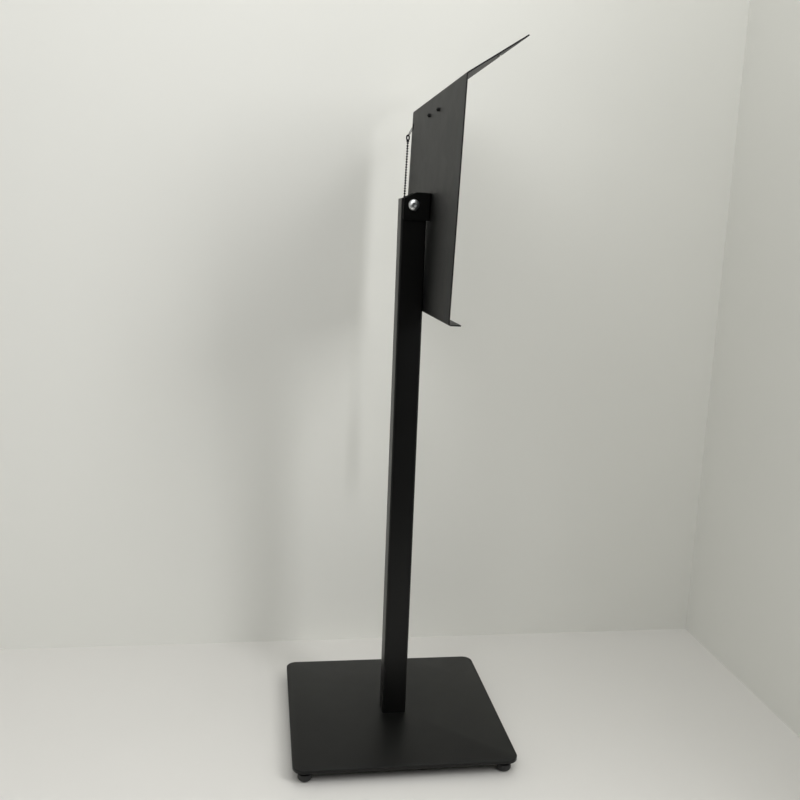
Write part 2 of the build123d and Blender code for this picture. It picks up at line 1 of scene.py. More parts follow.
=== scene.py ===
# %% [markdown]
# # Dressing the sign stand
#
# The sign stand comes into Blender as a finished CAD frame: every screw, sheet and tube is already
# there at its real size, in metres, with +Z up and the sign facing -Y. This lesson gives that frame
# its look. First come the camera, the finishes and the room. Then the pieces are made one by one,
# starting with the ball chain, because it is the only soft thing on the stand, and then from the
# floor up.

# %% Load the frame
import bmesh
import bpy
import json
from math import cos, pi, radians, sin, sqrt, tan
from mathutils import Matrix, Vector


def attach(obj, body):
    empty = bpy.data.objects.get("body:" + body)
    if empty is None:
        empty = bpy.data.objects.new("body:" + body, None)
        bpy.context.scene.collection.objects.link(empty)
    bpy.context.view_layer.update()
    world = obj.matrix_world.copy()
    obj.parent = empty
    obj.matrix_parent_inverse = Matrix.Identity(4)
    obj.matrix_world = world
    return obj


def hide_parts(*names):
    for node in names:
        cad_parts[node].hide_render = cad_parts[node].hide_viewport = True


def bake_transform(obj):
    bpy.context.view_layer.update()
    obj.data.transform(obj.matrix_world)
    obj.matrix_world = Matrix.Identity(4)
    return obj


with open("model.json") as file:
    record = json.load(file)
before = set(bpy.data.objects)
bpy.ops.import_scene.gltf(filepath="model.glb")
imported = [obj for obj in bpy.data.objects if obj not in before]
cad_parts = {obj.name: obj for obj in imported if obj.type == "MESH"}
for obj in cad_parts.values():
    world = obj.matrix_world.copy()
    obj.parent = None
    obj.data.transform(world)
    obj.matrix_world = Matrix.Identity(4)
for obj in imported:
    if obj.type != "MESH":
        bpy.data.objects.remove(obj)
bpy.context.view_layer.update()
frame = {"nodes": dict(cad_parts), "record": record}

scene = bpy.context.scene
scene.view_settings.view_transform = "Standard"
nodes = frame["nodes"]
record = frame["record"]

# %% [markdown]
# ## The camera
#
# The camera stands at chest height on the stand's left, a little behind it, so the sign's folded
# sheet is seen nearly edge on. A camera can be aimed with a constraint, but here its three angles
# are written out, because the slight roll of a hand-held camera is part of the view.

# %% Camera
camera_place = Vector((-1.4294, 0.2316, 0.8377))
camera_swing = 0.1555
camera_drop = 0.1845
camera_roll = 0.0390
camera_lens = 40.83

looking = Vector((
    cos(camera_swing) * cos(camera_drop),
    -sin(camera_swing) * cos(camera_drop),
    -sin(camera_drop),
))
camera = bpy.data.objects.new("camera", bpy.data.cameras.new("camera"))
scene.collection.objects.link(camera)
camera.data.lens = camera_lens
camera.data.clip_start = 0.01
camera.location = camera_place
camera.rotation_mode = "QUATERNION"
level_view = looking.to_track_quat("-Z", "Y").to_matrix()
camera.rotation_quaternion = (level_view @ Matrix.Rotation(camera_roll, 3, "Z")).to_quaternion()
scene.camera = camera
print("camera looks along", [round(v, 3) for v in looking])

# %% [markdown]
# ## Tools for finishes
#
# A finish is a network of shader nodes. Writing each node out takes many lines, so one small
# helper places a node, sets its options, and either links or fills its inputs.

# %% Place a shader node
def place(tree, kind, inputs=None, **options):
    """Add a node to a tree, set its options, and link or fill its inputs."""
    node = tree.nodes.new(kind)
    for option, value in options.items():
        setattr(node, option, value)
    for socket, value in (inputs or {}).items():
        if isinstance(value, bpy.types.NodeSocket):
            tree.links.new(value, node.inputs[socket])
        else:
            node.inputs[socket].default_value = value
    return node


def product(tree, first, second, clamped=False):
    """Multiply two values, one or both of which vary over the surface."""
    node = place(tree, "ShaderNodeMath", {0: first, 1: second}, operation="MULTIPLY",
                 use_clamp=clamped)
    return node.outputs[0]


def start_group(name, inputs, outputs):
    """Start a shader node group with number inputs, and return it with its two end nodes."""
    group = bpy.data.node_groups.new(name, "ShaderNodeTree")
    for label, value in inputs.items():
        socket = group.interface.new_socket(label, in_out="INPUT", socket_type="NodeSocketFloat")
        socket.default_value = value
    for label in outputs:
        group.interface.new_socket(label, in_out="OUTPUT", socket_type="NodeSocketFloat")
    print("group", name, "gives", ", ".join(outputs))
    return group, group.nodes.new("NodeGroupInput"), group.nodes.new("NodeGroupOutput")


# %% [markdown]
# ## Effects that several finishes share
#
# Powder coat is dry paint melted onto steel. Up close it has a fine orange-peel texture: low
# rounded bumps well under a millimetre across. Two layers of noise on Object coordinates give
# it, and they go into a Bump node, because real bumps that small would need millions of faces.

# %% Orange peel
peel, peel_in, peel_out = start_group("orange peel", {"Bumps per metre": 900.0}, ["Height"])
peel_place = place(peel, "ShaderNodeTexCoord")
peel_coarse = place(peel, "ShaderNodeTexNoise", {
    "Vector": peel_place.outputs["Object"],
    "Scale": peel_in.outputs["Bumps per metre"],
    "Detail": 2.0,
    "Roughness": 0.45,
})
peel_fine = place(peel, "ShaderNodeTexNoise", {
    "Vector": peel_place.outputs["Object"],
    "Scale": product(peel, peel_in.outputs["Bumps per metre"], 3.1),
    "Detail": 1.0,
})
peel_sum = place(peel, "ShaderNodeMath", {
    0: peel_fine.outputs["Fac"],
    1: 0.3,
    2: peel_coarse.outputs["Fac"],
}, operation="MULTIPLY_ADD")
peel.links.new(peel_sum.outputs[0], peel_out.inputs["Height"])

# %% [markdown]
# Edges are where a stand gets knocked, so paint thins and dulls there first. The Bevel node gives
# the direction that a rounded edge would have. Where that differs from the flat surface's own
# direction, there is an edge nearby. Noise breaks the line up, because real wear is patchy.

# %% Worn edges
wear, wear_in, wear_out = start_group(
    "worn edges", {"Width": 0.0006, "Patches per metre": 60.0, "Amount": 0.6}, ["Mask"])
wear_round = place(wear, "ShaderNodeBevel", {"Radius": wear_in.outputs["Width"]}, samples=4)
wear_flat = place(wear, "ShaderNodeNewGeometry")
wear_likeness = place(wear, "ShaderNodeVectorMath", {
    0: wear_round.outputs["Normal"],
    1: wear_flat.outputs["Normal"],
}, operation="DOT_PRODUCT")
wear_edge = place(wear, "ShaderNodeMapRange", {
    "Value": wear_likeness.outputs["Value"],
    "From Min": 0.99,
    "From Max": 0.75,
})
wear_place = place(wear, "ShaderNodeTexCoord")
wear_noise = place(wear, "ShaderNodeTexNoise", {
    "Vector": wear_place.outputs["Object"],
    "Scale": wear_in.outputs["Patches per metre"],
    "Detail": 5.0,
    "Roughness": 0.65,
})
wear_patch = place(wear, "ShaderNodeMapRange", {
    "Value": wear_noise.outputs["Fac"],
    "From Min": 0.47,
    "From Max": 0.66,
})
wear_both = product(wear, wear_edge.outputs[0], wear_patch.outputs[0], clamped=True)
wear.links.new(product(wear, wear_both, wear_in.outputs["Amount"]), wear_out.inputs["Mask"])

# %% [markdown]
# Dust settles on whatever faces up, in soft uneven drifts. The surface's own direction says how
# far it faces up, and slow noise makes the drifts.

# %% Settled dust
dust, dust_in, dust_out = start_group(
    "settled dust", {"Drifts per metre": 14.0, "Amount": 0.5}, ["Mask"])
dust_facing = place(dust, "ShaderNodeNewGeometry")
dust_up = place(dust, "ShaderNodeSeparateXYZ", {"Vector": dust_facing.outputs["Normal"]})
dust_flat = place(dust, "ShaderNodeMapRange", {
    "Value": dust_up.outputs["Z"],
    "From Min": 0.35,
    "From Max": 0.95,
})
dust_place = place(dust, "ShaderNodeTexCoord")
dust_noise = place(dust, "ShaderNodeTexNoise", {
    "Vector": dust_place.outputs["Object"],
    "Scale": dust_in.outputs["Drifts per metre"],
    "Detail": 6.0,
    "Roughness": 0.6,
})
dust_drift = place(dust, "ShaderNodeMapRange", {
    "Value": dust_noise.outputs["Fac"],
    "From Min": 0.35,
    "From Max": 0.75,
})
dust_both = product(dust, dust_flat.outputs[0], dust_drift.outputs[0], clamped=True)
dust.links.new(product(dust, dust_both, dust_in.outputs["Amount"]), dust_out.inputs["Mask"])

# %% [markdown]
# Hands leave faint cloudy patches, seen only as a change in gloss. Turned and drawn steel has
# fine lines instead, along the way that the tool went. Both are noise: the clouds are large and
# even, and the lines are noise squeezed hard in one direction by a Mapping node.

# %% Handling marks and tool lines
marks, marks_in, marks_out = start_group(
    "handling marks", {"Marks per metre": 22.0, "Amount": 0.1}, ["Change"])
marks_place = place(marks, "ShaderNodeTexCoord")
marks_noise = place(marks, "ShaderNodeTexNoise", {
    "Vector": marks_place.outputs["Object"],
    "Scale": marks_in.outputs["Marks per metre"],
    "Detail": 4.0,
    "Distortion": 0.6,
})
marks_centred = place(marks, "ShaderNodeMath", {
    0: marks_noise.outputs["Fac"],
    1: 0.5,
}, operation="SUBTRACT")
marks_scaled = product(marks, marks_centred.outputs[0], marks_in.outputs["Amount"])
marks.links.new(marks_scaled, marks_out.inputs["Change"])

lines, lines_in, lines_out = start_group("tool lines", {"Lines per metre": 1500.0}, ["Height"])
lines_place = place(lines, "ShaderNodeTexCoord")
lines_squeezed = place(lines, "ShaderNodeMapping", {
    "Vector": lines_place.outputs["Object"],
    "Scale": (1.0, 0.04, 0.04),
})
lines_noise = place(lines, "ShaderNodeTexNoise", {
    "Vector": lines_squeezed.outputs["Vector"],
    "Scale": lines_in.outputs["Lines per metre"],
    "Detail": 3.0,
})
lines.links.new(lines_noise.outputs["Fac"], lines_out.inputs["Height"])

# %% [markdown]
# ## The finishes
#
# Every finish is one Principled shader. Its plain numbers, such as how metallic it is, are set on
# the shader's own sockets. Only what changes over the surface comes in through nodes: the colour,
# mixed with wear and dust, the roughness, moved by handling marks, and the bumps.

# %% One recipe for all the finishes
finishes = {}
dust_colour = (0.28, 0.26, 0.23)


def use_group(tree, group, values):
    """Place a shared effect in a finish, with this finish's own values."""
    node = place(tree, "ShaderNodeGroup", node_tree=group)
    for label, value in values.items():
        node.inputs[label].default_value = value
    return node


def mixed(tree, below, mask, above):
    """The colour below, covered by the colour above as far as the mask says."""
    mix = place(tree, "ShaderNodeMix", data_type="RGBA")
    # A Mix node has sockets for numbers and vectors too, so its colours are found by their order.
    factor, colour_below, colour_above = mix.inputs[0], mix.inputs[6], mix.inputs[7]
    if isinstance(below, bpy.types.NodeSocket):
        tree.links.new(below, colour_below)
    else:
        colour_below.default_value = (*below, 1)
    colour_above.default_value = (*above, 1)
    tree.links.new(mask, factor)
    return mix.outputs[2]


def make_finish(slot, colour, roughness, metallic=0.0, ior=1.45, worn=None, dusty=0.0,
                handled=0.1, relief=None, relief_depth=0.00002, rim=1.0):
    """Make the finish for one of the record's material slots."""
    material = bpy.data.materials.new(slot.replace("_", " "))
    material.use_nodes = True
    tree = material.node_tree
    shader = tree.nodes["Principled BSDF"]
    shader.inputs["Metallic"].default_value = metallic
    shader.inputs["IOR"].default_value = ior
    shader.inputs["Specular Tint"].default_value = (rim, rim, rim, 1)
    surface = colour
    if worn:
        amount, worn_colour = worn
        edges = use_group(tree, wear, {"Amount": amount})
        surface = mixed(tree, surface, edges.outputs["Mask"], worn_colour)
    if dusty:
        drifts = use_group(tree, dust, {"Amount": dusty})
        surface = mixed(tree, surface, drifts.outputs["Mask"], dust_colour)
    if isinstance(surface, bpy.types.NodeSocket):
        tree.links.new(surface, shader.inputs["Base Color"])
    else:
        shader.inputs["Base Color"].default_value = (*surface, 1)
    touched = use_group(tree, marks, {"Amount": handled})
    gloss = place(tree, "ShaderNodeMath", {
        0: touched.outputs["Change"],
        1: roughness,
    }, operation="ADD", use_clamp=True)
    tree.links.new(gloss.outputs[0], shader.inputs["Roughness"])
    if relief:
        group, label, per_metre = relief
        texture = use_group(tree, group, {label: per_metre})
        bump = place(tree, "ShaderNodeBump", {
            "Height": texture.outputs["Height"],
            "Distance": relief_depth,
            "Strength": 1.0,
        })
        tree.links.new(bump.outputs["Normal"], shader.inputs["Normal"])
    finishes[slot] = material
    return material


# %% [markdown]
# The stand's sheet, tube, bracket and plate all wear the same black powder coat. On the heavy tube
# and plate, which stay hot for longer, it flows out to a satin. On the thin sheet of the head it
# sets sooner and stays more matte. Bare steel doesn't show at the edges, only a greyer, thinner
# coat. The feet are matte moulded plastic.

# %% Coat, plastics and rubber
coat_black, thin_coat = (0.003, 0.0031, 0.0028), (0.35, (0.05, 0.05, 0.048))
make_finish("powder_coat", coat_black, 0.37, ior=1.33, worn=thin_coat, dusty=0.004, handled=0.10,
            relief=(peel, "Bumps per metre", 900.0), relief_depth=0.00003)
make_finish("sheet_coat", coat_black, 0.52, ior=1.35, worn=thin_coat, dusty=0.004, handled=0.10,
            relief=(peel, "Bumps per metre", 1100.0), relief_depth=0.00003)
make_finish("foot_plastic", (0.012, 0.012, 0.012), 0.5, dusty=0.01, handled=0.15,
            worn=(0.3, (0.06, 0.06, 0.06)), relief=(peel, "Bumps per metre", 1800.0))
make_finish("nylon", (0.02, 0.02, 0.021), 0.42, handled=0.12,
            relief=(peel, "Bumps per metre", 2500.0))
make_finish("grip_rubber", (0.012, 0.012, 0.012), 0.7, handled=0.1,
            relief=(peel, "Bumps per metre", 4000.0))
make_finish("clip_paint", (0.01, 0.01, 0.01), 0.22, worn=(0.7, (0.2, 0.2, 0.2)), handled=0.12,
            relief=(peel, "Bumps per metre", 600.0), relief_depth=0.00001)
make_finish("pen_plastic", (0.008, 0.008, 0.009), 0.16, ior=1.49, handled=0.12,
            worn=(0.2, (0.05, 0.05, 0.05)))
print("coat and plastics made")

# %% [markdown]
# The metals differ in colour and gloss: bright zinc on the pivot bolt, duller zinc below, black
# oxide on the small screws, nickel on the spring and magnets, and black nickel on the ring, clasp
# and chain. Black nickel stays dark even at the rim of a ball, where bare metal turns bright.

# %% Metals
make_finish("zinc_steel", (0.52, 0.53, 0.53), 0.34, metallic=1.0, handled=0.2,
            relief=(lines, "Lines per metre", 1500.0), relief_depth=0.00001)
make_finish("bolt_steel", (0.80, 0.82, 0.81), 0.40, metallic=1.0, handled=0.12,
            relief=(lines, "Lines per metre", 1800.0), relief_depth=0.00001)
make_finish("plain_steel", (0.36, 0.35, 0.34), 0.4, metallic=1.0, handled=0.2,
            relief=(lines, "Lines per metre", 900.0), relief_depth=0.00002)
make_finish("black_steel", (0.004, 0.004, 0.0042), 0.6, worn=(0.15, (0.08, 0.08, 0.085)),
            ior=1.35, handled=0.15, relief=(lines, "Lines per metre", 2000.0), relief_depth=0.00001)
make_finish("spring_steel", (0.45, 0.45, 0.45), 0.22, metallic=1.0, handled=0.15)
make_finish("magnet_nickel", (0.46, 0.45, 0.43), 0.18, metallic=1.0, handled=0.15,
            worn=(0.6, (0.6, 0.6, 0.58)))
make_finish("chain_metal", (0.02, 0.02, 0.021), 0.34, metallic=1.0, handled=0.15, rim=0.2)
make_finish("pen_metal", (0.6, 0.6, 0.6), 0.15, metallic=1.0, handled=0.12)
make_finish("refill_brass", (0.55, 0.4, 0.17), 0.25, metallic=1.0, handled=0.2)
print(len(finishes), "finishes made")

# %% [markdown]
# ## The room
#
# The stand is on a pale floor, close to a pale wall. One sheet can serve as both, swept up behind,
# but a real corner is kept here, because its line and its shadow say how near the wall is. The
# walls are seen from inside only: from behind they are clear, so the stand can be looked at from
# every side. The Backfacing output tells the two sides apart.

# %% Floor and walls
def pale_finish(name, colour, roughness, from_inside_only):
    """A slightly uneven pale paint. Seen from behind, it can be clear."""
    material = bpy.data.materials.new(name)
    material.use_nodes = True
    tree = material.node_tree
    shader = tree.nodes["Principled BSDF"]
    clouds = use_group(tree, marks, {"Marks per metre": 3.0, "Amount": 0.35})
    surface = mixed(tree, colour, clouds.outputs["Change"], tuple(0.9 * part for part in colour))
    tree.links.new(surface, shader.inputs["Base Color"])
    shader.inputs["Roughness"].default_value = roughness
    if from_inside_only:
        side = place(tree, "ShaderNodeNewGeometry")
        clear = place(tree, "ShaderNodeBsdfTransparent")
        both = place(tree, "ShaderNodeMixShader", {
            0: side.outputs["Backfacing"],
            1: shader.outputs["BSDF"],
            2: clear.outputs["BSDF"],
        })
        tree.links.new(both.outputs[0], tree.nodes["Material Output"].inputs["Surface"])
    return material


def stage_sheet(name, corners, material):
    """One flat sheet of the room."""
    bm = bmesh.new()
    bm.faces.new([bm.verts.new(corner) for corner in corners])
    mesh = bpy.data.meshes.new(name)
    bm.to_mesh(mesh)
    bm.free()
    sheet = bpy.data.objects.new(name, mesh)
    scene.collection.objects.link(sheet)
    mesh.materials.append(material)
    return sheet


wall_x, wall_height, far = 0.325, 3.0, 7.0
side_wall_y, side_wall_end = -0.70, -0.8
floor_paint = pale_finish("pale floor", (0.66, 0.65, 0.62), 0.45, False)
wall_paint = pale_finish("pale wall", (0.78, 0.78, 0.735), 0.6, True)
stage_sheet("floor", [(-far, -far, 0), (far, -far, 0), (far, far, 0), (-far, far, 0)], floor_paint)
stage_sheet("back_wall", [
    (wall_x, far, 0), (wall_x, side_wall_y, 0),
    (wall_x, side_wall_y, wall_height), (wall_x, far, wall_height),
], wall_paint)
stage_sheet("side_wall", [
    (wall_x, side_wall_y, 0), (side_wall_end, side_wall_y, 0),
    (side_wall_end, side_wall_y, wall_height), (wall_x, side_wall_y, wall_height),
], wall_paint)
print("room made")

# %% [markdown]
# ## The light
#
# Two soft lamps stand on the camera's left and right, and a wider, weaker one hangs overhead, so
# that every shadow is faint and has soft edges. A pale world fills in from all round, and colours
# come out about as they are written.

# %% Light
world = bpy.data.worlds.new("pale room")
scene.world = world
world.use_nodes = True
sky = world.node_tree.nodes["Background"]
sky.inputs["Color"].default_value = (0.8, 0.8, 0.79, 1)
sky.inputs["Strength"].default_value = 0.6


def soft_lamp(name, spot, aim, size, power):
    """A square soft lamp at a spot, turned towards another."""
    lamp = bpy.data.lights.new(name, "AREA")
    lamp.shape = "SQUARE"
    lamp.size = size
    lamp.energy = power
    holder = bpy.data.objects.new(name, lamp)
    scene.collection.objects.link(holder)
    holder.location = spot
    holder.rotation_mode = "QUATERNION"
    holder.rotation_quaternion = (Vector(aim) - Vector(spot)).to_track_quat("-Z", "Y")
    print("lamp", name, power, "W")


soft_lamp("left", (-1.8, 0.8, 2.0), (0.0, 0.0, 0.4), 1.3, 19)
soft_lamp("right", (-1.2, -1.3, 1.6), (0.3, -0.4, 0.3), 1.2, 50)
soft_lamp("overhead", (-0.3, -0.5, 2.6), (0.1, -0.1, 0.3), 1.8, 24)

# %% [markdown]
# Glossy black paint shows whatever faces it, and pale walls would turn it grey. Studios stand black
# boards beside such things. Here a black panel stands behind the camera and a black cloth lies on
# the floor in front of it. The camera doesn't see them, and the cloth is kept out of shadows and
# soft light too, so that the floor under it stays pale from every side.

# %% Black panel and cloth
board_black = bpy.data.materials.new("black panel")
board_black.use_nodes = True
board_shader = board_black.node_tree.nodes["Principled BSDF"]
board_shader.inputs["Base Color"].default_value = (0.03, 0.03, 0.035, 1)
board_shader.inputs["Roughness"].default_value = 0.9

board_x, board_height = -2.0, 2.4
dark_panel = stage_sheet("dark_panel", [
    (board_x, -1.6, 0), (board_x, 1.8, 0),
    (board_x, 1.8, board_height), (board_x, -1.6, board_height),
], board_black)
cloth_near, cloth_far, cloth_z = -0.75, -2.6, 0.003
dark_cloth = stage_sheet("dark_cloth", [
    (cloth_far, -1.8, cloth_z), (cloth_near, -1.8, cloth_z),
    (cloth_near, 2.2, cloth_z), (cloth_far, 2.2, cloth_z),
], board_black)
for unseen in (dark_panel, dark_cloth):
    unseen.visible_camera = False
dark_cloth.visible_shadow = False
dark_cloth.visible_diffuse = False
print("black panel and cloth stand out of sight")

# %% [markdown]
# ## Tools for pieces
#
# Every piece is made the same way: a bmesh is started from a simple shape, worked with the mesh
# operators, and stored as an object that stays at the origin. These helpers round edges, turn a
# half section as on a lathe, and cut one shape out of another.

# %% Round, cut and turn
def block(size, centre):
    """A rectangular bmesh block."""
    bm = bmesh.new()
    bmesh.ops.create_cube(bm, size=1.0)
    bmesh.ops.scale(bm, vec=size, verts=bm.verts)
    bmesh.ops.translate(bm, vec=centre, verts=bm.verts)
    return bm


def round_edges(bm, edges, reach, steps):
    """Round edges with a circular profile that starts this far from them."""
    bmesh.ops.bevel(bm, geom=list(edges), offset=reach, offset_type="OFFSET", segments=steps,
                    profile=0.5, affect="EDGES", material=-1)


def round_corner(bm, spot, reach, steps=5):
    """Round the flat corner nearest to a spot."""
    corner = min(bm.verts, key=lambda vert: (vert.co - Vector(spot)).length)
    bmesh.ops.bevel(bm, geom=[corner], offset=reach, offset_type="OFFSET", segments=steps,
                    profile=0.5, affect="VERTICES", material=-1)


def edges_where(bm, test):
    """The edges whose two ends both pass a test of their place."""
    return [edge for edge in bm.edges if all(test(vert.co) for vert in edge.verts)]


def upright_edges(bm):
    """The edges that run along Z."""
    return [e for e in bm.edges if abs((e.verts[0].co - e.verts[1].co).normalized().z) > 0.99]


def turned(outline, rounds=(), steps=48):
    """Turn a half section, given as (radius, height) points, about the Z axis."""
    bm = bmesh.new()
    bm.faces.new([bm.verts.new((radius, 0, height)) for radius, height in outline])
    for index, reach in rounds:
        round_corner(bm, (outline[index][0], 0, outline[index][1]), reach)
    bmesh.ops.delete(bm, geom=list(bm.faces), context="FACES_ONLY")
    on_axis = edges_where(bm, lambda co: co.x < 1e-8)
    bmesh.ops.delete(bm, geom=on_axis, context="EDGES")
    bmesh.ops.spin(bm, geom=bm.verts[:] + bm.edges[:], cent=(0, 0, 0), axis=(0, 0, 1),
                   angle=2 * pi, steps=steps, use_merge=True)
    bmesh.ops.remove_doubles(bm, verts=bm.verts, dist=1e-7)
    bmesh.ops.recalc_face_normals(bm, faces=bm.faces)
    return bm


def moved(bm, matrix):
    """Move a bmesh by a matrix."""
    bmesh.ops.transform(bm, matrix=matrix, verts=bm.verts)
    return bm


def joined(shapes):
    """Put several bmeshes into one, and free them."""
    whole = bmesh.new()
    for bm in shapes:
        mesh = bpy.data.meshes.new("part")
        bm.to_mesh(mesh)
        bm.free()
        whole.from_mesh(mesh)
        bpy.data.meshes.remove(mesh)
    return whole


def loose_object(bm):
    """Store a bmesh as a passing object."""
    mesh = bpy.data.meshes.new("passing")
    bm.to_mesh(mesh)
    bm.free()
    shape = bpy.data.objects.new("passing", mesh)
    scene.collection.objects.link(shape)
    return shape


def cut_away(bm, tool_bm):
    """Cut the tool's shape out of a bmesh, and return what is left."""
    shape, tool = loose_object(bm), loose_object(tool_bm)
    cut = shape.modifiers.new("cut", "BOOLEAN")
    cut.operation = "DIFFERENCE"
    cut.solver = "EXACT"
    cut.object = tool
    bpy.context.view_layer.update()
    shown = shape.evaluated_get(bpy.context.evaluated_depsgraph_get())
    left = bpy.data.meshes.new_from_object(shown)
    result = bmesh.new()
    result.from_mesh(left)
    for passing in (shape, tool):
        bpy.data.meshes.remove(passing.data)
    bpy.data.meshes.remove(left)
    return result


print("tools for shapes are ready")

# %% [markdown]
# A finished bmesh still has to become a piece of the stand: a mesh with a finish, smooth faces and
# sharp edges, that moves with the right body and takes the place of the CAD nodes it stands for.
# That is the same work each time, so one function does it.

# %% Fit a finished piece
def fit(name, bm, body, slot, *stands_for, sharp=35, eased=0.0, look=None):
    """Store a piece, give it its finish, and let it ride on its body in place of its CAD nodes.

    A piece that bends between two bodies rides on neither, and its body is None here. A look is
    the finish to use where it isn't the slot's own.
    """
    mesh = bpy.data.meshes.new(name)
    bm.to_mesh(mesh)
    bm.free()
    piece = bpy.data.objects.new(name, mesh)
    scene.collection.objects.link(piece)
    mesh.materials.clear()
    mesh.materials.append(finishes[look or slot])
    mesh.shade_smooth()
    mesh.set_sharp_from_angle(angle=radians(sharp))
    if eased:
        ease = piece.modifiers.new("eased edges", "BEVEL")
        ease.width = eased
        ease.segments = 2
        ease.limit_method = "ANGLE"
        ease.angle_limit = radians(50)
        ease.use_clamp_overlap = True
    if body:
        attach(piece, body)
    if stands_for:
        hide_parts(*stands_for)
    print("made", name, len(mesh.polygons), "faces")
    return piece


def merged_copy(node):
    """A node's mesh as a bmesh, with its loose triangles joined and its flat faces made whole."""
    bm = bmesh.new()
    bm.from_mesh(nodes[node].data)
    bmesh.ops.remove_doubles(bm, verts=bm.verts, dist=1e-6)
    bmesh.ops.dissolve_limit(bm, angle_limit=radians(0.4), verts=bm.verts, edges=bm.edges)
    return bm


print("pieces can be fitted")

# %% [markdown]
# ## The ball chain
#
# The pen hangs on a ball chain: hollow balls threaded on short dumb-bell links, which bend freely
# at every ball. It could be one tube, but the row of balls is what makes it a chain. It hangs from
# the clasp at the head's right edge, leans back a little to clear the board's lower edge, and then
# hangs straight down. A smooth NURBS line follows that route, and balls are set along it.

# %% The chain's line
chain_ball = 0.0040
chain_pitch = 0.0046
chain_route = [
    (0.2133, -0.021839, 0.992088),
    (0.2133, -0.015, 0.711849),
    (0.2133, -0.015, 0.542172),
]

line_data = bpy.data.curves.new("chain line", "CURVE")
line_data.dimensions = "3D"
line_data.resolution_u = 64
line_spline = line_data.splines.new("NURBS")
line_spline.points.add(len(chain_route) - 1)
for point, spot in zip(line_spline.points, chain_route):
    point.co = (*spot, 1.0)
line_spline.order_u = 3
line_spline.use_endpoint_u = True
line_object = bpy.data.objects.new("chain line", line_data)
scene.collection.objects.link(line_object)
bpy.context.view_layer.update()
line_mesh = bpy.data.meshes.new_from_object(
    line_object.evaluated_get(bpy.context.evaluated_depsgraph_get()))
chain_line = [vert.co.copy() for vert in line_mesh.vertices]
bpy.data.objects.remove(line_object)
line_length = sum((b - a).length for a, b in zip(chain_line[:-1], chain_line[1:]))
print("chain line has", len(chain_line), "points and is", round(line_length, 4), "m long")

# %% [markdown]
# There are about a hundred balls, so each is a sphere of a few faces, and each link a plain short
# tube. A helper finds the place and the direction at any distance along the line.

# %% Balls and links
def spot_along(points, distance):
    """The point at a distance along a line of points, and the line's direction there."""
    for start, end in zip(points[:-1], points[1:]):
        step = (end - start).length
        if distance <= step or end is points[-1]:
            return start.lerp(end, distance / step), (end - start).normalized()
        distance -= step


ball_count = int(line_length / chain_pitch)
link_radius = 0.0006
chain_bm = bmesh.new()
for index in range(ball_count + 1):
    from_start = chain_ball / 2 + index * (line_length - chain_ball) / ball_count
    spot, along = spot_along(chain_line, from_start)
    turn = along.to_track_quat("Z", "Y").to_matrix().to_4x4()
    bmesh.ops.create_uvsphere(chain_bm, u_segments=10, v_segments=7, radius=chain_ball / 2,
                              matrix=Matrix.Translation(spot) @ turn)
    if index < ball_count:
        middle, along = spot_along(chain_line, from_start + chain_pitch / 2)
        bmesh.ops.create_cone(chain_bm, segments=6, radius1=link_radius, radius2=link_radius,
                              depth=chain_pitch, cap_ends=False,
                              matrix=Matrix.Translation(middle) @ turn)
chain = fit("pen_chain", chain_bm, "tether", "chain_metal", "ball_chain", sharp=60)

# %% [markdown]
# ## The base
#
# The base is one square of plate steel, heavy enough to keep the stand upright, with rounded
# corners and lightly eased rims. A cube is scaled to size and bevelled twice: first its four
# upright edges with the corner radius, then its rims. Four countersunk holes in its underside
# take the screws that hold the post.

# %% Base plate
base_side, base_thickness, base_underside = 0.355, 0.006, 0.021
base_top = base_underside + base_thickness
base_corner, top_rim, bottom_rim = 0.018, 0.0008, 0.0003
plate_middle = (0, 0, base_underside + base_thickness / 2)

plate_bm = block((base_side, base_side, base_thickness), plate_middle)
round_edges(plate_bm, upright_edges(plate_bm), base_corner, 20)
round_edges(plate_bm, edges_where(plate_bm, lambda co: co.z > base_top - 1e-5), top_rim, 4)
round_edges(plate_bm, edges_where(plate_bm, lambda co: co.z < base_underside + 1e-5),
            bottom_rim, 2)

screw_spacing = 0.021
screw_head, screw_shank, screw_gap = 0.006, 0.003, 0.0002
cone_depth, cutter_start, cutter_end = 0.003, -0.001, 0.008


def countersink(x, y):
    """A cutter for one countersunk screw, from below."""
    head, shank = screw_head + screw_gap, screw_shank + screw_gap
    bm = turned([
        (0, cutter_start), (head - cutter_start, cutter_start), (shank, cone_depth),
        (shank, cutter_end), (0, cutter_end),
    ])
    return moved(bm, Matrix.Translation((x, y, base_underside)))


sides = (-screw_spacing / 2, screw_spacing / 2)
plate_bm = cut_away(plate_bm, joined([countersink(x, y) for x in sides for y in sides]))
fit("plate", plate_bm, "stand", "powder_coat", "base_plate", sharp=25)

# %% [markdown]
# ## The feet
#
# Each foot is a tall round pad moulded on a threaded stud. Its lower edge is well rounded, so that
# it doesn't dig into a carpet. A round thing like this is turned: half of its outline is drawn,
# the outline's corners are rounded, and the line is spun about the axis. The stud's thread is drawn
# in the same way, as a zigzag, which at this size can't be told from a true spiral.

# %% Foot pads
foot_inset = 0.0195
foot_offset = base_side / 2 - foot_inset
pad_radius, pad_height = 0.01125, 0.013
pad_round, pad_top_round = 0.0065, 0.001
stud_radius, stud_seat, stud_top = 0.004, pad_height - 0.001, base_underside - 0.0004
stud_taper, stud_pitch = 0.0008, 0.00125
thread_depth = 0.55


def thread(radius, low, high, pitch):
    """The outline of a thread from low to high, as a zigzag of crests and roots."""
    count = int((high - low) / pitch)
    root = radius - thread_depth * pitch
    return [point for turn in range(count)
            for point in ((radius, low + turn * pitch), (root, low + (turn + 0.5) * pitch))]


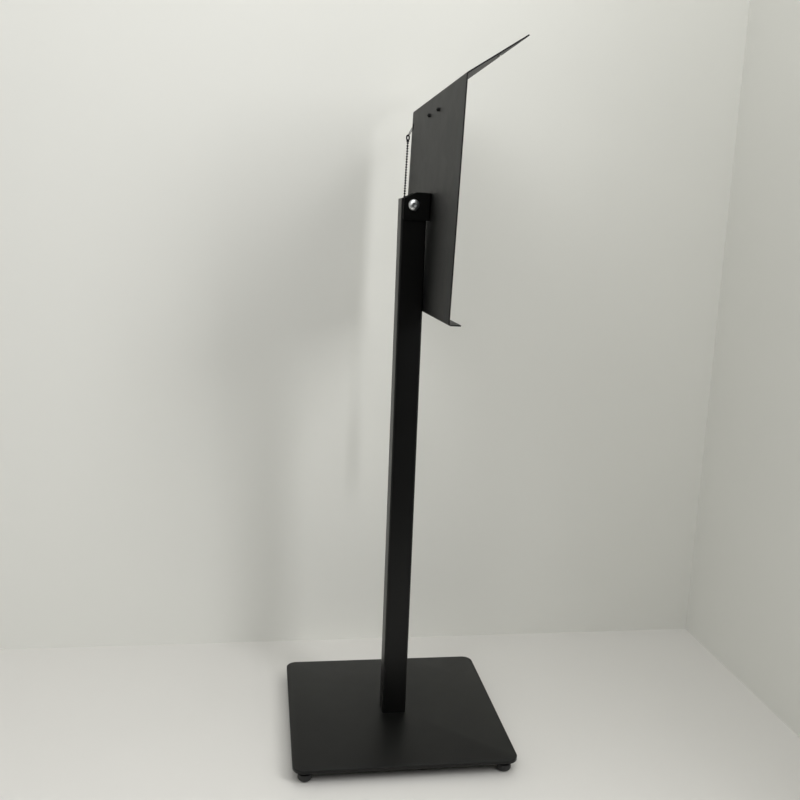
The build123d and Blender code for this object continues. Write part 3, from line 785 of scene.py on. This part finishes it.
def foot_pad(x, y):
    """One round pad on the floor."""
    bm = turned([
        (0, 0), (pad_radius, 0), (pad_radius, pad_height), (0, pad_height),
    ], [(1, pad_round), (2, pad_top_round)], steps=64)
    return moved(bm, Matrix.Translation((x, y, 0)))


def foot_stud(x, y):
    """One threaded stud, from inside its pad to inside its weld nut."""
    outline = [(0, stud_seat), *thread(stud_radius, stud_seat, stud_top - 0.001, stud_pitch)]
    outline += [(stud_radius - stud_taper, stud_top), (0, stud_top)]
    return moved(turned(outline, steps=32), Matrix.Translation((x, y, 0)))


foot_places = {
    "front_left": (-foot_offset, -foot_offset),
    "rear_left": (-foot_offset, foot_offset),
    "front_right": (foot_offset, -foot_offset),
    "rear_right": (foot_offset, foot_offset),
}
for place_name, (x, y) in foot_places.items():
    fit(f"pad_{place_name}", foot_pad(x, y), f"foot_{place_name}", "foot_plastic",
        f"foot_pad_{place_name}")
    fit(f"stud_{place_name}", foot_stud(x, y), f"foot_{place_name}", "zinc_steel",
        f"foot_stud_{place_name}", sharp=20)

# %% [markdown]
# The weld nuts under the plate and the screws under the post have the right shape already. A CAD
# mesh is loose triangles, though, which can't be shaded smoothly, so each gets a merged copy, and
# a Bevel modifier takes the razor edge off it.

# %% Nuts and screws of the base
fit("weld_nuts", merged_copy("foot_weld_nuts"), "stand", "black_steel", "foot_weld_nuts",
    eased=0.0002)
fit("plate_screws", merged_copy("base_screws"), "stand", "zinc_steel", "base_screws")

# %% [markdown]
# ## The post
#
# The post is a length of square steel tube. Its corners are rounded where the strip was bent, which
# gives every corner a soft line of light from top to bottom. A cube's four upright edges are
# rounded, its ends are taken off, and the skin that is left is given its wall thickness inwards.

# %% Post tube
post_side, post_wall, post_corner = 0.040, 0.002, 0.004
post_length = 0.860
post_top = base_top + post_length
pivot_drop, pivot_hole_radius = 0.010, 0.0051
pivot_y, pivot_z = 0.0015, post_top - pivot_drop
along_x = Matrix.Rotation(pi / 2, 4, "Y")
through = 0.08

post_bm = block((post_side, post_side, post_length), (0, 0, base_top + post_length / 2))
round_edges(post_bm, upright_edges(post_bm), post_corner, 10)
ends = [face for face in post_bm.faces if abs(face.normal.z) > 0.9]
bmesh.ops.delete(post_bm, geom=ends, context="FACES_ONLY")
bmesh.ops.recalc_face_normals(post_bm, faces=post_bm.faces)
bmesh.ops.solidify(post_bm, geom=post_bm.faces[:], thickness=post_wall)
bmesh.ops.recalc_face_normals(post_bm, faces=post_bm.faces)


def cross_tool(radius, length):
    """A round cutter along X through the pivot."""
    bm = bmesh.new()
    across = Matrix.Translation((0, pivot_y, pivot_z)) @ along_x
    bmesh.ops.create_cone(bm, segments=48, radius1=radius, radius2=radius, depth=length,
                          cap_ends=True, matrix=across)
    return bm


post_bm = cut_away(post_bm, cross_tool(pivot_hole_radius, through))
fit("post", post_bm, "stand", "powder_coat", "post_tube", sharp=25, eased=0.0003)
print("post is", post_side, "m square and", round(post_top, 4), "m high at its top")

# %% [markdown]
# Two blocks fill the ends of the tube. The steel one at the foot takes the plate's screws, and the
# nylon one at the top keeps the pivot bolt from squeezing the thin walls together. They are hidden,
# and their CAD shapes are right already.

# %% Blocks in the post
fit("foot_block", merged_copy("post_foot_block"), "stand", "plain_steel", "post_foot_block",
    eased=0.0002)
fit("top_block", merged_copy("pivot_block"), "stand", "nylon", "pivot_block", eased=0.0002)

# %% [markdown]
# ## The pivot
#
# One bright button-head bolt goes through the bracket and the post, and the head turns on it.
# Nylon washers between bracket and post give it an even drag, and a lock nut sets how much. The
# bolt is turned, and its hexagon socket is cut out of the head. The head's outline is given in
# shares of its radius and height, so that one function makes every button head on the stand.

# %% Pivot bolt
def button_bolt(radius, length, head_radius, head_height, socket, socket_depth, pitch):
    """A button-head bolt along +Z, with the underside of its head at the origin."""
    thread_start = 0.35 * length
    outline = [
        (0, length), (radius - 0.5 * pitch, length),
        *reversed(thread(radius, thread_start, length - 0.6 * pitch, pitch)),
        (radius, 0), (head_radius, 0), (head_radius, -0.14 * head_height),
        (0.87 * head_radius, -0.62 * head_height), (0.45 * head_radius, -head_height),
        (0, -head_height),
    ]
    crown = len(outline) - 3
    bm = turned(outline, [(crown, 0.2 * head_radius), (crown + 1, 0.1 * head_radius)], steps=48)
    tool = bmesh.new()
    bmesh.ops.create_cone(tool, segments=6, radius1=socket / sqrt(3), radius2=socket / sqrt(3),
                          depth=2 * socket_depth, cap_ends=True,
                          matrix=Matrix.Translation((0, 0, -head_height)))
    return cut_away(bm, tool)


bracket_half = 0.0237
bolt_bm = button_bolt(radius=0.005, length=0.061, head_radius=0.00875, head_height=0.0055,
                      socket=0.006, socket_depth=0.0032, pitch=0.0015)
moved(bolt_bm, Matrix.Translation((-bracket_half, pivot_y, pivot_z)) @ along_x)
fit("bolt", bolt_bm, "stand", "bolt_steel", "pivot_bolt", sharp=28, eased=0.0001)

# %% [markdown]
# The washers and the nut are plain turned and pressed shapes, so their merged copies only need
# their edges eased.

# %% Washers and lock nut
fit("drag_washers", merged_copy("friction_washers"), "stand", "nylon", "friction_washers",
    eased=0.0001)
fit("flat_washer", merged_copy("pivot_washer"), "stand", "zinc_steel", "pivot_washer",
    eased=0.0002)
fit("lock_nut", merged_copy("pivot_lock_nut"), "stand", "zinc_steel", "pivot_lock_nut",
    eased=0.0002)

# %% [markdown]
# ## The tilt bracket
#
# A steel channel holds the head: its two ears straddle the post's top, and its web is screwed to
# the board. Everything on the head is drawn upright about the pivot, and then laid at the head's
# rest lean by one matrix. Two helpers serve both of its sheet pieces: one pulls a bent line into a
# skin, and one gives the skin its thickness inwards.

# %% Placing things on the head
rest_lean = radians(1.5)
on_head = Matrix.Translation((0, pivot_y, pivot_z)) @ Matrix.Rotation(rest_lean, 4, "X")
board_back, board_thickness = -0.027015, 0.002
board_front = board_back - board_thickness
print("the head turns about y", pivot_y, "z", round(pivot_z, 4))


def pulled(line, along):
    """Pull a line of points along a direction, so that it leaves a skin behind it."""
    bm = bmesh.new()
    spots = [bm.verts.new(spot) for spot in line]
    runs = [bm.edges.new(pair) for pair in zip(spots[:-1], spots[1:])]
    made = bmesh.ops.extrude_edge_only(bm, edges=runs)
    new_verts = [part for part in made["geom"] if isinstance(part, bmesh.types.BMVert)]
    bmesh.ops.translate(bm, vec=along, verts=new_verts)
    return bm


def thicken(bm, outer_spot, outer_way, thickness):
    """Give a skin its thickness on its inner side. The face nearest a spot says which is outer."""
    bmesh.ops.recalc_face_normals(bm, faces=bm.faces)
    guide = min(bm.faces, key=lambda face: (face.calc_center_median() - Vector(outer_spot)).length)
    if guide.normal.dot(Vector(outer_way)) < 0:
        bmesh.ops.reverse_faces(bm, faces=bm.faces)
    bmesh.ops.solidify(bm, geom=bm.faces[:], thickness=thickness)
    bmesh.ops.recalc_face_normals(bm, faces=bm.faces)


# %% [markdown]
# Three walls are pulled up from a line, the two bends are rounded, and the ears' top corners are
# sliced off by a plane. The corners are rounded last, because the slice leaves new ones.

# %% Bracket
ear_rise, ear_fall, ear_tail = 0.0195, 0.0225, 0.0155
slice_run, slice_drop = 0.0185, 0.010
bracket_thickness, bracket_bend = 0.0025, 0.004
tail_corner, slice_corner, brow_corner = 0.003, 0.0018, 0.00076

bracket_bm = pulled([
    (-bracket_half, ear_tail, -ear_fall), (-bracket_half, board_back, -ear_fall),
    (bracket_half, board_back, -ear_fall), (bracket_half, ear_tail, -ear_fall),
], (0, 0, ear_rise + ear_fall))
on_web = edges_where(bracket_bm, lambda co: abs(co.y - board_back) < 1e-6)
bends = [edge for edge in upright_edges(bracket_bm) if edge in on_web]
round_edges(bracket_bm, bends, bracket_bend, 8)
slice_normal = Vector((0, slice_drop, slice_run)).normalized()
skin = bracket_bm.verts[:] + bracket_bm.edges[:] + bracket_bm.faces[:]
bmesh.ops.bisect_plane(bracket_bm, geom=skin, plane_co=(0, ear_tail, ear_rise - slice_drop),
                       plane_no=slice_normal, clear_outer=True)
for side in (-bracket_half, bracket_half):
    round_corner(bracket_bm, (side, ear_tail, -ear_fall), tail_corner)
    round_corner(bracket_bm, (side, ear_tail, ear_rise - slice_drop), slice_corner)
    round_corner(bracket_bm, (side, ear_tail - slice_run, ear_rise), brow_corner)
thicken(bracket_bm, (0, board_back, 0), (0, -1, 0), bracket_thickness)


def rod_tool(spot, way, radius, length):
    """A round cutter centred on a spot, along a direction."""
    bm = bmesh.new()
    turn = Vector(way).to_track_quat("Z", "Y").to_matrix().to_4x4()
    bmesh.ops.create_cone(bm, segments=32, radius1=radius, radius2=radius, depth=length,
                          cap_ends=True, matrix=Matrix.Translation(spot) @ turn)
    return bm


bracket_screw_spots = [(x, z) for x in (-0.012, 0.012) for z in (-0.011, 0.011)]
tapped_radius, drill = 0.00205, 0.012
tools = [rod_tool((x, board_back, z), (0, 1, 0), tapped_radius, drill)
         for x, z in bracket_screw_spots]
tools.append(rod_tool((0, 0, 0), (1, 0, 0), pivot_hole_radius, through))
bracket_bm = cut_away(bracket_bm, joined(tools))
moved(bracket_bm, on_head)
fit("ears", bracket_bm, "head", "powder_coat", "tilt_bracket", sharp=25, eased=0.0003)

# %% [markdown]
# ## The sign panel
#
# Ledge, board and visor are one steel sheet, folded twice. The sheet's back is drawn as a line
# from the ledge's tip to the visor's tip and pulled across the panel's width. Then the folds and
# the corners are rounded, the sheet gets its thickness towards the reader, and the holes are cut.

# %% Folded sheet
panel_width = 0.432
fold_z, ledge_z = 0.1675, -0.1645
ledge_length, visor_length, visor_elevation = 0.0185, 0.0965, radians(34.5)
fold_outer_radius, sheet_corner = 0.0035, 0.0025

visor_way = Vector((0, -cos(visor_elevation), sin(visor_elevation)))
half_width = panel_width / 2
fold_spot = Vector((-half_width, board_back, fold_z))
visor_tip = fold_spot + visor_way * visor_length
panel_bm = pulled([
    (-half_width, board_back - ledge_length, ledge_z),
    (-half_width, board_back, ledge_z),
    fold_spot,
    visor_tip,
], (panel_width, 0, 0))


def near_line(y, z):
    """A test of whether a place is on the line along X at this y and z."""
    return lambda co: abs(co.y - y) < 1e-6 and abs(co.z - z) < 1e-6


visor_turn = pi / 2 - visor_elevation
round_edges(panel_bm, edges_where(panel_bm, near_line(board_back, ledge_z)), fold_outer_radius, 8)
round_edges(panel_bm, edges_where(panel_bm, near_line(board_back, fold_z)),
            fold_outer_radius * tan(visor_turn / 2), 8)
for side in (-half_width, half_width):
    round_corner(panel_bm, (side, visor_tip.y, visor_tip.z), sheet_corner)
    round_corner(panel_bm, (side, board_back - ledge_length, ledge_z), sheet_corner)
thicken(panel_bm, (0, board_back, 0), (0, 1, 0), board_thickness)
print("sheet has", len(panel_bm.faces), "faces before its holes")

# %% [markdown]
# The sheet is drilled before it is painted: four holes for the bracket's screws, two for the
# clip's, and one for the ring of the pen's chain. All the drills are cut away together.

# %% Holes in the sheet
board_middle = board_back - board_thickness / 2
clip_drop, clip_screw_x, tether_edge = 0.026, 0.038, 0.0115
clip_z = fold_z - clip_drop
clip_screw_spots = [(x, clip_z) for x in (-clip_screw_x, clip_screw_x)]
bracket_hole, clip_hole, tether_hole, drill = 0.0022, 0.0017, 0.00575, 0.006

holes = [(x, z, bracket_hole) for x, z in bracket_screw_spots]
holes += [(x, z, clip_hole) for x, z in clip_screw_spots]
holes.append((half_width - tether_edge, clip_z, tether_hole))
tools = [rod_tool((x, board_middle, z), (0, 1, 0), radius, drill) for x, z, radius in holes]
panel_bm = cut_away(panel_bm, joined(tools))
moved(panel_bm, on_head)
fit("folded_sheet", panel_bm, "head", "powder_coat", "sign_panel", sharp=25, eased=0.0003,
    look="sheet_coat")

# %% [markdown]
# ## Small screws
#
# Four black M4 button screws hold the bracket, and two M3 ones the clip. They are small copies of
# the pivot bolt, so the same function makes them.

# %% M4 and M3 screws
def small_screws(spots, seat_y, sizes):
    """Button screws that go in from the reader's side, with their heads on a face."""
    screws = []
    for x, z in spots:
        screw = button_bolt(**sizes)
        place_it = on_head @ Matrix.Translation((x, seat_y, z)) @ Matrix.Rotation(-pi / 2, 4, "X")
        screws.append(moved(screw, place_it))
    return joined(screws)


clip_base_thickness = 0.001
clip_base_front = board_front - clip_base_thickness
m4_sizes = dict(radius=0.002, length=0.0041, head_radius=0.0038, head_height=0.0022,
                socket=0.0025, socket_depth=0.0013, pitch=0.0007)
m3_sizes = dict(radius=0.0015, length=0.008, head_radius=0.00285, head_height=0.00165,
                socket=0.002, socket_depth=0.001, pitch=0.0005)
fit("board_screws", small_screws(bracket_screw_spots, board_front, m4_sizes), "head",
    "black_steel", "bracket_screws", sharp=28)
fit("clip_bolts", small_screws(clip_screw_spots, clip_base_front, m3_sizes), "head",
    "black_steel", "clip_screws", sharp=28)
fit("clip_lock_nuts", merged_copy("clip_nuts"), "head", "black_steel", "clip_nuts", eased=0.0002)

# %% [markdown]
# ## Magnets and paper clip
#
# Two small disc magnets sit under the visor, and a spring clip holds the top of the paper. The
# clip's plate and jaw are thin pressings, so their merged copies only need their edges eased.

# %% Magnets, clip plate and jaw
fit("disc_magnets", merged_copy("card_magnets"), "head", "magnet_nickel", "card_magnets",
    eased=0.0002)
fit("clip_plate", merged_copy("clip_base"), "head", "clip_paint", "clip_base", eased=0.0002)
fit("clip_hinge_pin", merged_copy("clip_pin"), "head", "spring_steel", "clip_pin", eased=0.0001)
fit("clip_lever", merged_copy("clip_jaw"), "clip", "clip_paint", "clip_jaw", eased=0.0002)
fit("clip_pad", merged_copy("clip_grip"), "clip", "grip_rubber", "clip_grip", eased=0.0004)

# %% [markdown]
# The clip's spring is a coil on the hinge pin. One arm rests on the clip's plate and the other
# pushes the lever, so when the clip opens the coil winds up along its length. A stiff copy that
# rides on the head would leave the lever behind. Here the coil is a merged copy that rides on
# neither body, with its place baked into its mesh.

# %% Clip spring
spring = fit("coil_spring", merged_copy("clip_spring"), None, "spring_steel", "clip_spring",
             sharp=60)
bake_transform(spring)

# %% [markdown]
# ## Ring, clasp and pen
#
# A split ring goes through the hole at the board's edge, and a clasp joins it to the chain. Both
# are bent from wire, and their CAD shapes are kept, made smooth.

# %% Ring and clasp
fit("split_ring", merged_copy("tether_ring"), "tether", "chain_metal", "tether_ring", sharp=60)
fit("clasp", merged_copy("tether_clasp"), "tether", "chain_metal", "tether_clasp", sharp=40)

# %% [markdown]
# The chain ends in a small socket, which is pressed into the plug of a pen. Plug, barrel and nose
# are turned one by one from half sections, upwards from the origin, and then turned over and hung
# below the chain's end. Fine rings near the point give the fingers a grip.

# %% Pen
chain_end = Vector(chain_route[-1])
socket_length, cap_height, barrel_length, nose_length = 0.009, 0.004, 0.108, 0.020
pen_radius, bore_radius, refill_radius = 0.0048, 0.0032, 0.0015
socket_radius, groove_radius, spigot_radius, spigot_length = 0.0028, 0.0024, 0.00315, 0.008


def hung(bm, drop):
    """Hang a shape, drawn upwards from the origin, point down this far below the chain's end."""
    place_it = Matrix.Translation(chain_end - Vector((0, 0, drop))) @ Matrix.Rotation(pi, 4, "X")
    return moved(bm, place_it)


socket_bm = turned([
    (0, 0), (socket_radius, 0), (socket_radius, 0.0055), (groove_radius, 0.006),
    (socket_radius, 0.0065), (socket_radius, socket_length), (0, socket_length),
], [(1, 0.0005), (5, 0.0005)])
chain_cap = fit("chain_cap", hung(socket_bm, 0), "tether", "chain_metal", "chain_socket")
plug_bm = turned([
    (0, 0), (pen_radius, 0), (pen_radius, cap_height), (spigot_radius, cap_height),
    (spigot_radius, cap_height + spigot_length), (0, cap_height + spigot_length),
], [(1, 0.002)])
plug = fit("pen_end_plug", hung(plug_bm, socket_length), "tether", "pen_plastic", "pen_plug")

grip_start, grip_end, ring_count, ring_pitch, ring_depth = 0.080, 0.1045, 9, 0.0026, 0.0004
grip_rings = []
for ring in range(ring_count):
    grip_rings.append((pen_radius, grip_start + ring * ring_pitch))
    grip_rings.append((pen_radius - ring_depth, grip_start + (ring + 0.5) * ring_pitch))
barrel_bm = turned([
    (bore_radius, 0), (pen_radius, 0), *grip_rings, (pen_radius, grip_end),
    (pen_radius, barrel_length), (bore_radius, barrel_length),
], [(1, 0.0002)])
barrel_drop = socket_length + cap_height
fit("pen_body", hung(barrel_bm, barrel_drop), "tether", "pen_plastic", "pen_barrel", sharp=30)

nose_bore, nose_tip_radius = refill_radius + 0.00005, 0.0017
nose_bm = turned([
    (nose_bore, -spigot_length), (spigot_radius, -spigot_length), (spigot_radius, 0),
    (pen_radius, 0), (pen_radius - 0.00015, 0.002), (nose_tip_radius, nose_length),
    (nose_bore, nose_length),
])
nose_drop = barrel_drop + barrel_length
fit("pen_tip", hung(nose_bm, nose_drop), "tether", "pen_metal", "pen_nose")
fit("ink_refill", merged_copy("pen_refill"), "tether", "refill_brass", "pen_refill")

# %% [markdown]

# %% [markdown]
# ## Closing
#
# A dressed piece hides the CAD nodes it stands for. The nodes get their slot's finish all the same,
# so that any of them can be shown on its own.

# %% Finishes on the nodes that stay
for subpart in record["subparts"]:
    node_mesh = nodes[subpart["node"]].data
    node_mesh.materials.clear()
    node_mesh.materials.append(finishes[subpart["material_slot"]])
print(len(record["subparts"]), "nodes have their finish")
